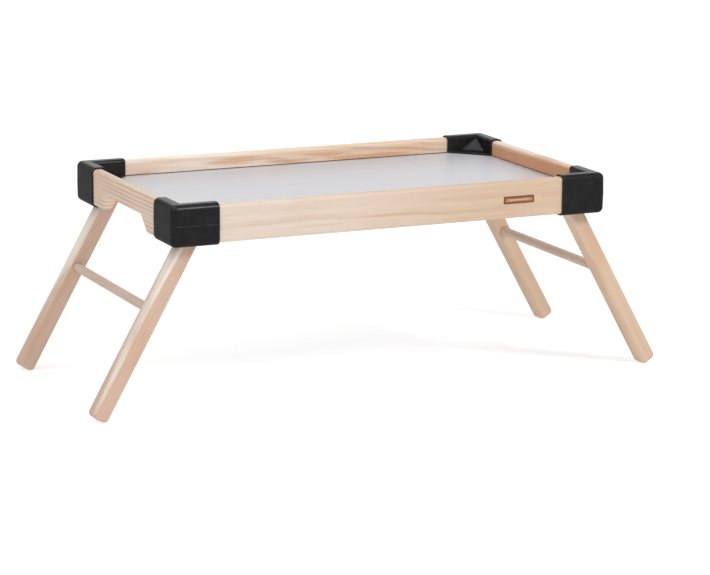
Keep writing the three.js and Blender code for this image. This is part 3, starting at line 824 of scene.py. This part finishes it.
def makeCaps(s):
    plan = capPlan(s)
    pivot = pivotOf("left")
    bm = carve(capShell(s, plan), capWeb(s, plan), "UNION")
    bm = carve(bm, capGusset(s, plan), "UNION")
    roomFoot, roomTop = railLow.z - restGap, railHigh.z + restGap
    roomOut, roomIn = railLow.y - restGap, railHigh.y + restGap
    corner = railSettings["edgeRadius"] + restGap
    endOfRoom = plan["x"] + s["skin"] + s["wall"] + s["endRoom"] - restGap
    longRoom = block(Vector((endOfRoom, roomOut, roomFoot)),
                     Vector((plan["mouthX"] + past, roomIn, roomTop)), corner, "x")
    sideways = plan["x"] - plan["y"]
    endRoom = block(Vector((roomOut + sideways, (railLow.y + railHigh.y) / 2, roomFoot)),
                    Vector((roomIn + sideways, plan["mouthY"] + past, roomTop)), corner, "y")
    bm = carve(carve(bm, longRoom), endRoom)
    hole = rod(s["pivotHole"] / 2, railHigh.y, plan["innerY"] + past, (pivot.x, 0, pivot.z), "y")
    bm = carve(bm, hole)
    head, shank = s["screwHead"] / 2 + restGap, s["screwShank"] / 2 + restGap
    sunk = [(0, -past), (head, -past), (head, restGap), (shank, s["screwSink"] + restGap),
            (shank, s["wall"] + past), (0, s["wall"] + past)]
    for x, y in screwPlaces(s, plan).values():
        bm = carve(bm, turned(sunk, (x, y, capLow.z)))
    onCorners(bm, "moulded_cap_", "corner_cap_", blackPlastic)


makeCaps(capSettings)
print("corner caps made")


# ---- screws and washers ----

screwSettings = {
    "pivotShank": 5, "pivotHead": 10.5, "pivotHeadHeight": 3, "pivotShoulder": 1.6, "pivotRecess": 1.3,
    "capShank": 3, "capHead": 6.2, "recessWidth": 0.9, "recessReach": 0.3, "recessDepth": 1.3,
    "recessTaper": 0.45, "washerEdge": 0.18,
}


def crossRecess(s, centre, axis, width, reach):  # a tapered cross
    bm = None
    depth = s["recessDepth"] + past
    for a, b in ((reach, width / 2), (width / 2, reach)):
        arm = bmesh.new()
        corner = math.sqrt(0.5)
        bmesh.ops.create_cone(arm, cap_ends=True, segments=4, radius1=corner, radius2=corner, depth=1)
        turnAll(arm, 45, "Z")
        for vert in arm.verts:
            top = vert.co.z > 0
            narrow = 1 if top else s["recessTaper"]
            vert.co = (vert.co.x * 2 * a * narrow, vert.co.y * 2 * b * narrow, depth if top else 0)
        clean(arm)
        bm = arm if bm is None else carve(bm, arm, "UNION")
    turnAll(bm, -90 if axis == "y" else 180, "X")
    bmesh.ops.translate(bm, verts=bm.verts, vec=centre)
    return clean(bm)


def shoulder(radius, height, size, steps=5):  # (radius, place) pairs of a rounded rim, from side to face
    return [(radius - size * (1 - math.cos(math.radians(90 * k / steps))),
             height - size * (1 - math.sin(math.radians(90 * k / steps)))) for k in range(steps + 1)]


def makePivots(s):
    pivot = pivotOf("left")
    low, high = boxOf("pivot_screw_front_left")
    head = high.y - s["pivotHeadHeight"]
    radius, shank = s["pivotHead"] / 2, s["pivotShank"] / 2
    centre = (pivot.x, 0, pivot.z)
    profile = [(0, low.y), (shank, low.y + shank), (shank, head), (radius, head)]
    profile += shoulder(radius, high.y, s["pivotShoulder"]) + [(0, high.y)]
    recess = crossRecess(s, (pivot.x, high.y - s["recessDepth"], pivot.z), "y",
                         s["recessWidth"] * s["pivotRecess"], s["pivotHead"] * s["recessReach"])
    screw = carve(turned(profile, centre, "y"), recess)
    onCorners(screw, "steel_pivot_", "pivot_screw_", zinc)
    for kind, slot, material in (("spacer", "spacer_nylon", blackNylon), ("washer", "screw_steel", zinc)):
        low, high = boxOf("pivot_%s_front_left" % kind)
        rim, edge, hole = (high.x - low.x) / 2, s["washerEdge"], shank + restGap
        ring = [(hole, low.y), (rim - edge, low.y), (rim, low.y + edge),
                (rim, high.y - edge), (rim - edge, high.y), (hole, high.y)]
        washer = turned(ring, centre, "y", closed=True)
        onCorners(washer, kind + "_", "pivot_%s_" % kind, material)


def makeCapScrews(s):
    for way, (x, y) in screwPlaces(capSettings, capPlan(capSettings)).items():
        node = "cap_screw_%s_" % way
        low, high = boxOf(node + "front_left")
        head, shank = s["capHead"] / 2, s["capShank"] / 2
        sink = low.z + restGap / 2
        profile = [(0, low.z), (head, low.z), (head, sink), (shank, sink + head - shank),
                   (shank, high.z - shank), (0, high.z)]
        recess = crossRecess(s, (x, y, low.z + s["recessDepth"]), "down", s["recessWidth"],
                             s["capHead"] * s["recessReach"])
        screw = carve(turned(profile, (x, y, 0), steps=32), recess)
        onCorners(screw, "cap_screw_steel_%s_" % way, node, zinc)


makePivots(screwSettings)
makeCapScrews(screwSettings)
print("screws and washers made")


# ---- legs and dowels ----

legSettings = {
    "width": 18, "depth": 20, "reach": 215.17, "edge": 4, "foot": 5, "crown": 8.5, "splay": 29.3,
    "bore": 5.6, "dowel": 10, "dowelFromPivot": 91.5, "socket": 12, "dowelEdge": 0.8,
}
legLooks = {
    # the two left legs' pale bands are painted light, paling their outer sides, which face up and to the left
    "leg_front_left": {"pith": (6, 40), "ring": 3.0, "contrast": 0.45, "seed": 21, "blotch": 0.7,
                       "paleBandReach": (46, 48.5), "early": (0.64, 0.445, 0.34)},
    "leg_rear_left": {"pith": (-5, 44), "ring": 2.6, "contrast": 0.60, "seed": 24, "blotch": 0.8,
                      "paleBandReach": (50, 52.5), "early": (0.64, 0.455, 0.345)},
    "leg_front_right": {"pith": (34, -20), "ring": 3.2, "contrast": 0.42, "seed": 27, "blotch": 0.7,
                        "early": (0.66, 0.475, 0.345)},
    "leg_rear_right": {"pith": (-18, -34), "ring": 2.4, "contrast": 0.55, "seed": 31, "blotch": 0.8,
                       "early": (0.63, 0.455, 0.325)},
}
dowelLooks = {
    "left": {"pith": (9, 12), "ring": 2.2, "contrast": 0.45, "seed": 41, "early": (0.62, 0.50, 0.42)},
    "right": {"pith": (12, -8), "ring": 2.4, "contrast": 0.50, "seed": 44, "early": (0.60, 0.45, 0.35)},
}


def legBlank(s):  # the front left leg about its pivot, hanging straight down
    half, deep = s["width"] / 2, s["depth"] / 2
    outline = [(-half, -s["reach"], s["foot"]), (half, -s["reach"], s["foot"]), (half, half, s["crown"]),
               (-half, half, s["crown"])]
    bm = slab("xz", outline, -deep, deep)
    rims = [e for side in (-deep, deep) for e in edgesWhere(bm, lambda co: near(co.y, side))]
    bevelEdges(bm, rims, s["edge"], 7)
    bm = carve(bm, rod(s["bore"] / 2, -deep - past, deep + past, (0, 0, 0), "y"))
    return carve(bm, rod(s["dowel"] / 2 + restGap, deep - s["socket"] - restGap, deep + past,
                         (0, 0, -s["dowelFromPivot"]), "y"))


def makeLegs(s):
    blank = legBlank(s)
    half = (s["depth"] / 2, s["width"] / 2)
    for node, look in legLooks.items():
        place, end = node.split("_")[1:]
        sx, sy = corners[place + "_" + end]
        pivot = pivotOf(end)
        low, high = boxOf(node)
        bm = mirrored(blank.copy(), sx, sy)
        centre = Vector((pivot.x, (low.y + high.y) / 2, pivot.z))
        turnAll(bm, sx * s["splay"], "Y")
        bmesh.ops.translate(bm, verts=bm.verts, vec=centre)
        made = sliceAll(bm, 0, -1, clear_outer=True)  # the foot is sanded flat where it stands
        rim = [g for g in made["geom_cut"] if isinstance(g, bmesh.types.BMEdge)]
        bmesh.ops.contextual_create(bm, geom=rim)
        turn = (0, math.radians(90 + sx * s["splay"]), 0)
        wood = pine("pine_" + node, centre, turn, half, **look)
        finishPiece(bm, "pine_" + node, node, wood)
    blank.free()
    for end, look in dowelLooks.items():
        node = "leg_dowel_" + end
        low, high = boxOf(node)
        centre = (low + high) / 2
        radius, edge = s["dowel"] / 2, s["dowelEdge"]
        profile = [(0, low.y), (radius - edge, low.y), (radius, low.y + edge), (radius, high.y - edge),
                   (radius - edge, high.y), (0, high.y)]
        bm = turned(profile, (centre.x, 0, centre.z), "y")
        wood = pine("pine_" + node, centre, (0, 0, math.radians(90)), (radius * 4, radius * 4), **look)
        finishPiece(bm, "pine_" + node, node, wood)


makeLegs(legSettings)
print("legs and dowels made")
